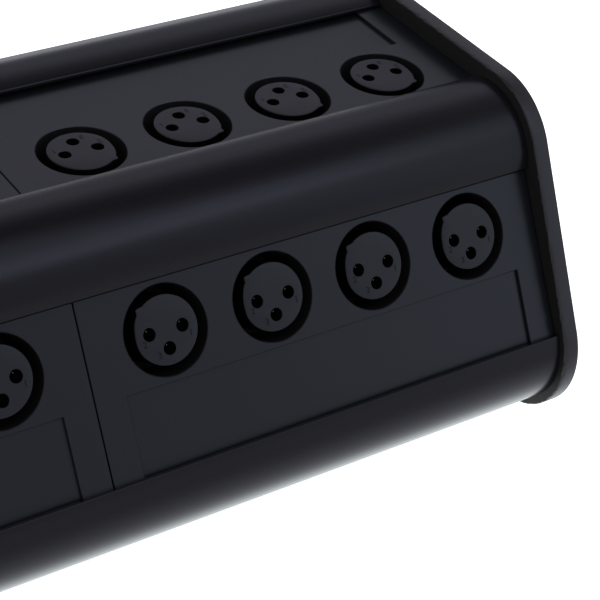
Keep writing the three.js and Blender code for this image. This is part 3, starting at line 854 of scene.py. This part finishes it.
def insert_outline():
    """A circle with the key, a small nose, and beyond it a long shallow flat that dips as a squared
    cosine of the angle."""
    angles = np.concatenate([
        np.arange(0, key_from, insert_step), np.arange(key_from, key_to + 2 * key_step, key_step),
        np.arange(key_to + insert_step, 360, insert_step),
    ])
    rise = np.interp(angles, [key_from, key_top, key_top + 2 * key_step, key_to], [0, 1, 1, 0])
    share = np.clip((angles - flat_middle) / flat_half_width, -1, 1)
    radius = insert_radius + key_rise * rise - flat_depth * np.cos(share * math.pi / 2) ** 2
    turn = np.radians(angles)
    return radius[:, None] * np.stack([np.cos(turn), np.sin(turn)], -1)


def pin_places():
    """Pins 1 and 2 level to the right and left, and pin 3 below."""
    turns = np.radians([0, 180, 270])
    return pin_circle * np.stack([np.cos(turns), np.sin(turns)], -1)


def insert_part():
    """The moulding from its back to its face, with a rounded edge, the pin holes and their lead-in."""
    outline = insert_outline()
    rings = [[(outline, -insert_length)]]
    for turn in np.radians(np.linspace(0, 90, insert_edge_rings)):
        sunk = insert_edge_radius * (1 - math.sin(turn))
        rings[0].append((inset(outline, insert_edge_radius * (1 - math.cos(turn))), -sunk))
    for place in pin_places():
        bore = hole(place, pin_hole_radius, pin_hole_sides)
        mouth = hole(place, pin_hole_radius + pin_lead_in, pin_hole_sides)
        rings.append([(bore, -insert_length), (bore, -pin_lead_in), (mouth, 0)])
    return banded(rings)


def number_part(text, place):
    """A thin numeral, from the plain built-in face, centred on its place."""
    curve = bpy.data.curves.new("numeral", "FONT")
    curve.body = text
    curve.align_x = "CENTER"
    curve.align_y = "CENTER"
    curve.size = number_size
    curve.extrude = number_rise
    curve.offset = number_weight
    curve.resolution_u = number_curve_steps
    holder = bpy.data.objects.new("numeral", curve)
    mesh = bpy.data.meshes.new_from_object(holder)
    points = np.zeros(len(mesh.vertices) * 3)
    mesh.vertices.foreach_get("co", points)
    faces = [list(face.vertices) for face in mesh.polygons]
    bpy.data.objects.remove(holder)
    bpy.data.curves.remove(curve)
    bpy.data.meshes.remove(mesh)
    return points.reshape(-1, 3) + (*place, 0), faces


insert = insert_part()
numbers = [number_part(text, place) for text, place in number_places.items()]
for face, facts in faces_of_box.items():
    for number, centre in socket_places(face):
        node = f"xlr_insert_{face}_{number}"
        moulding = make_piece(f"socket_insert_{face}_{number}", [insert], facts["axes"], centre,
                              insert_plastic, [node], angle=moulding_sharp_angle)
        # The marked walls and pin holes get the painted shade
        mark_sides(moulding, facts["axes"][2], shaded_wall_lean)
        make_piece(f"pin_numbers_{face}_{number}", numbers, facts["axes"], centre,
                   number_black, [node])

# Contact boards and contacts
# Behind each panel lies a green circuit board, which closes the backs of its four sockets. A gilt
# sleeve behind each pin hole is soldered into it, and has a sprung leaf at its mouth.
contact_radius = 1.2
contact_bore = 0.84
contact_lip = 0.06
contact_set_back = 6.0
contact_root = 0.8
contact_depth = 7.5
contact_tail = 1.8
contact_sides = 72
leaf_tip_depth = 0.8
leaf_bend = 0.22
leaf_angle = 109
leaf_half_width = 18
leaf_power = 6
board_thickness = 1.6
board_edge_radius = 0.1
board_depth = panel_thickness + 2 * seat_gap + shell_length

# Glass-fibre laminate under green solder mask: a smooth dark green sheet
board_laminate = surface("green_solder_mask_on_laminate", "#1f4a2c", grain_mm=3, rough=(0.35, 0.45))
# Brass with a thin gold plating: pale, bright where the leaf's tip catches the light
contact_gilt = surface("gilt_brass", "#aaa38c", grain_mm=0.3, rough=(0.12, 0.2), metallic=1)


def contact_part(place):
    """A sleeve with a tail through the board, and a sprung leaf that stands forward of its mouth
    and bends in, by a flat-topped bell curve of the angle."""
    back = -board_depth - board_thickness - contact_tail
    root = -contact_set_back - contact_root
    away = np.arange(contact_sides) * 360 / contact_sides - leaf_angle
    leaf = np.exp(-(away / leaf_half_width) ** leaf_power)
    front = -contact_set_back + (contact_set_back - leaf_tip_depth) * leaf
    outer, inner = contact_radius - leaf_bend * leaf, contact_bore - leaf_bend * leaf
    profile = [(contact_radius, back), (contact_radius, root), (outer, front - contact_lip),
               (outer - contact_lip, front), (inner + contact_lip, front), (inner, front - contact_lip),
               (contact_bore, root), (contact_bore, -contact_set_back - contact_depth)]
    points, faces = turned(profile, contact_sides)
    return points + (*place, 0), faces


reach, depth = socket_offsets[-1] + shell_outside, shell_outside
board_outline = np.array([(-reach, -depth), (reach, -depth), (reach, depth), (-reach, depth)])
board = banded(straight([board_outline], (-board_depth - board_thickness, -board_depth)))
sleeves = [contact_part((x + place[0], place[1])) for x in socket_offsets for place in pin_places()]
for face, facts in faces_of_box.items():
    for side in facts["sides"]:
        _, middle = panel_middle(face, side)
        node = f"contact_board_{face}_{side}"
        make_piece(f"circuit_board_{face}_{side}", [board], facts["axes"], middle,
                   board_laminate, [node], edge=board_edge_radius)
        make_piece(f"contacts_{face}_{side}", sleeves, facts["axes"], middle,
                   contact_gilt, [node])

# Cheek screws
# Countersunk M4 machine screws of blackened steel with a hexagon socket, four an end. Their heads
# are flush with the cheek, and they go into the extrusions' bosses.
screw_length = 16.0
screw_sides = 48
screw_tip_taper = 0.3
screw_tip_length = 0.4
screw_head_rim = 0.12
screw_head_chamfer = 0.08
screw_socket_flats = 2.5115
screw_socket_depth = 1.5
screw_socket_chamfer = 0.12
turned_sharp_angle = 30

# Steel blackened in a hot oxide bath: a dark metal with a soft shine
black_steel = surface("blackened_steel", "#242426", grain_mm=0.4, rough=(0.3, 0.4), metallic=0.9)


def hexagon(across_flats, sides):
    """Radius of a regular hexagon at evenly spaced angles: half its width across the flats over
    the cosine of the angle from the nearest flat's middle."""
    from_flat = np.radians(np.arange(sides) * 360 / sides % 60 - 30)
    return across_flats / 2 / np.cos(from_flat)


socket_hexagon = hexagon(screw_socket_flats, screw_sides)
screw_profile = [
    (screw_radius - screw_tip_taper, -screw_length), (screw_radius, -screw_length + screw_tip_length),
    (screw_radius, -screw_head_height), (screw_head_radius, -screw_head_rim),
    (screw_head_radius - screw_head_chamfer, 0), (socket_hexagon + screw_socket_chamfer, 0),
    (socket_hexagon, -screw_socket_chamfer), (socket_hexagon, -screw_socket_depth),
]
screw = turned(screw_profile, screw_sides)
for side, way in (("left", -1), ("right", 1)):
    for number, centre in enumerate(edge_centres, 1):
        low, high = node_box(f"cheek_screw_{side}_{number}")
        head = high[0] if side == "right" else low[0]
        make_piece(f"socket_screw_{side}_{number}", [screw], [(0, 0, -way), (0, 1, 0), (way, 0, 0)],
                   (head, *centre), black_steel, [f"cheek_screw_{side}_{number}"],
                   angle=turned_sharp_angle)

# Cable gland
# A nylon gland for the multicore in the left cheek: a body with a hexagonal flange, a lock nut
# inside the box, a dome nut outside and a rubber seal between them.
gland_bore = 8.6
gland_across_flats = 33.0
gland_flange = 5.0
gland_collar = 11.0
gland_inner_thread = 8.0
gland_seal_radius = 10.6
gland_seal_length = 9.0
gland_sides = 144
thread_chamfer = 0.6
collar_chamfer = 0.5
seal_chamfer = 0.3
lock_nut_thickness = 5.0
lock_nut_across_flats = 32.0
dome_skirt = 9.0
dome_length = 17.0
dome_radius = 16.0
dome_mouth = 11.5
dome_mouth_chamfer = 1.0
dome_arc_step = 7.5
end_gap = 0.1
# Rings that turn a hexagon's corners down: radius over half the flats' distance, and the drop
chamfer_rings = [(0.4, 0), (1.0, 0.35), (2.0, 0.95), (3.2, 1.65)]
# Rings from the dome nut's hexagon to its dome: radius over the dome's, and the drop
shoulder_rings = [(2.2, 2.0), (1.92, 1.5), (1.08, 1.0)]

# Black nylon, moulded: satin, a little grainy
gland_nylon = surface("black_nylon_gland", "#161617", grain_mm=0.5, detail=3,
                      rough=(0.4, 0.52), relief_mm=0.01)
# Black rubber, moulded: matt, with a dusty grain
black_rubber = surface("black_rubber", "#131313", grain_mm=0.3, detail=3,
                       rough=(0.75, 0.9), relief_mm=0.02)


def chamfered(outline, across_flats, level, side):
    """Rings that turn the corners of a hexagon down to just over its flats, from a face inwards."""
    return [(np.minimum(outline, across_flats / 2 + over), level - side * drop)
            for over, drop in chamfer_rings]


flange_hexagon = hexagon(gland_across_flats, gland_sides)
nut_hexagon = hexagon(lock_nut_across_flats, gland_sides)
left_low, left_high = node_box("end_cheek_left")
cheek_inside = left_low[0] - left_high[0]
gland_mouth = end_gap + gland_flange + gland_collar
inner_end = cheek_inside - gland_inner_thread
seat_level = gland_mouth - gland_seal_length
seal_bore = gland_seal_radius + screw_clearance
body_profile = [
    (gland_thread_radius - thread_chamfer, inner_end), (gland_thread_radius, inner_end + thread_chamfer),
    (gland_thread_radius, end_gap),
    *chamfered(flange_hexagon, gland_across_flats, end_gap, -1),
    *chamfered(flange_hexagon, gland_across_flats, end_gap + gland_flange, 1)[::-1],
    (gland_thread_radius, end_gap + gland_flange), (gland_thread_radius, gland_mouth - collar_chamfer),
    (gland_thread_radius - collar_chamfer, gland_mouth), (seal_bore, gland_mouth), (seal_bore, seat_level),
    (gland_bore, seat_level), (gland_bore, inner_end),
]
seal_back, seal_front = seat_level + seat_gap, gland_mouth + seat_gap
seal_profile = [
    (gland_seal_radius, seal_back), (gland_seal_radius, seal_front - seal_chamfer),
    (gland_seal_radius - seal_chamfer, seal_front), (gland_bore + seal_chamfer, seal_front),
    (gland_bore, seal_front - seal_chamfer), (gland_bore, seal_back),
]
lock_front = cheek_inside - end_gap
lock_back = lock_front - lock_nut_thickness
lock_bore = gland_thread_radius + screw_clearance
lock_profile = [
    (lock_bore, lock_back),
    *chamfered(nut_hexagon, lock_nut_across_flats, lock_back, -1),
    *chamfered(nut_hexagon, lock_nut_across_flats, lock_front, 1)[::-1],
    (lock_bore, lock_front),
]
dome_back = end_gap + gland_flange + seat_gap
dome_foot = dome_back + dome_skirt
dome_front = dome_back + dome_length
dome_rise = dome_front - dome_foot
dome_cavity = seal_front + seat_gap
dome_turns = np.radians(np.arange(0, 90 + dome_arc_step, dome_arc_step))
dome_profile = [
    (lock_bore, dome_back),
    *chamfered(flange_hexagon, gland_across_flats, dome_back, -1),
    *[(np.minimum(flange_hexagon, dome_radius + over), dome_foot - drop) for over, drop in shoulder_rings],
    *[(dome_mouth + (dome_radius - dome_mouth) * math.cos(turn), dome_foot + dome_rise * math.sin(turn))
      for turn in dome_turns],
    (gland_bore + dome_mouth_chamfer, dome_front), (gland_bore, dome_front - dome_mouth_chamfer),
    (gland_bore, dome_cavity), (lock_bore, dome_cavity),
]
gland_pieces = {
    "gland_body": (body_profile, gland_nylon, "gland_nylon", "cable_gland_body"),
    "gland_seal_ring": (seal_profile, black_rubber, "rubber", "cable_gland_seal"),
    "gland_lock_nut": (lock_profile, gland_nylon, "gland_nylon", "cable_gland_lock_nut"),
    "gland_dome_nut": (dome_profile, gland_nylon, "gland_nylon", "cable_gland_dome_nut"),
}
for name, (profile, material, slot, node) in gland_pieces.items():
    make_piece(name, [turned(profile, gland_sides, closed=True)], [(0, 0, 1), (0, 1, 0), (-1, 0, 0)],
               (left_low[0], *gland_line), material, [node], angle=turned_sharp_angle)

# Feet
# Four round rubber feet under the floor's corners. Each is pressed by its stem through a hole in
# the floor, and the stem's barb holds it there.
foot_height = 5.0
foot_radius = 7.0
foot_toe_radius = 6.0
foot_toe_chamfer = 0.2
foot_toe_rise = 0.12
foot_stem_radius = 2.4
foot_barb_radius = 3.4
foot_barb_height = 1.6
foot_edge = 0.6
foot_sides = 64
foot_top = foot_height - end_gap
barb_level = foot_height + wall + seat_gap
foot_profile = [
    (foot_toe_radius - foot_edge, 0), (foot_toe_radius - foot_toe_chamfer, foot_toe_rise),
    (foot_toe_radius, foot_edge), (foot_radius, foot_top), (foot_stem_radius, foot_top),
    (foot_stem_radius, barb_level), (foot_barb_radius, barb_level),
    (foot_stem_radius, barb_level + foot_barb_height),
]
foot = turned(foot_profile, foot_sides)
for number in range(1, 5):
    low, high = node_box(f"foot_{number}")
    middle = (low + high) / 2
    make_piece(f"rubber_foot_{number}", [foot], np.eye(3), (middle[0], middle[1], 0),
               black_rubber, [f"foot_{number}"], angle=turned_sharp_angle)
